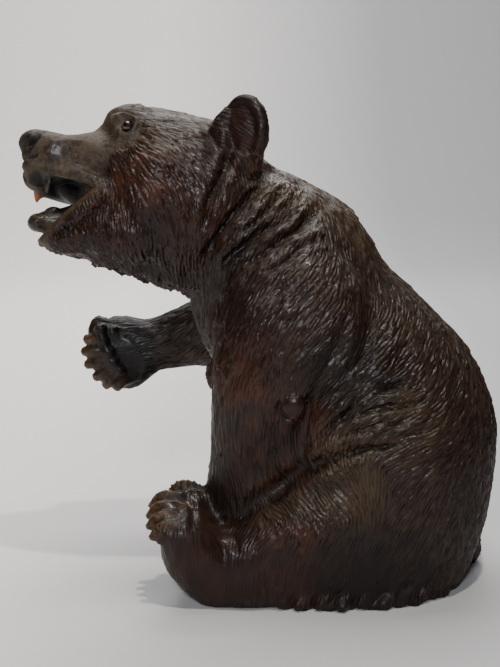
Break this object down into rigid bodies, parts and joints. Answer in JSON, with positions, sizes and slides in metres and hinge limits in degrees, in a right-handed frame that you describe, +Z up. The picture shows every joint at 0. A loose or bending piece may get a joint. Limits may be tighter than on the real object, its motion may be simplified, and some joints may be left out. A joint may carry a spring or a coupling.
{
  "type": "carved wooden bear",
  "caption": "Seated bear carved from one block of dark varnished wood, mouth open and right forepaw raised, with glass eyes and a flat underside.",
  "frame": {"origin": "on the ground plane, at the middle of the figure's length and width", "axes": "+Z up from the flat underside; the bear faces -X, its left side is -Y"},
  "size_m": [0.2906, 0.162, 0.2957],
  "materials": {
    "varnished_wood": "dark brown stain under a worn glossy varnish",
    "dark_glass": "polished dark glass"
  },
  "bodies": {
    "root": {"carved_bear": "varnished_wood", "glass_eye_left": "dark_glass", "glass_eye_right": "dark_glass"}
  },
  "joints": []
}
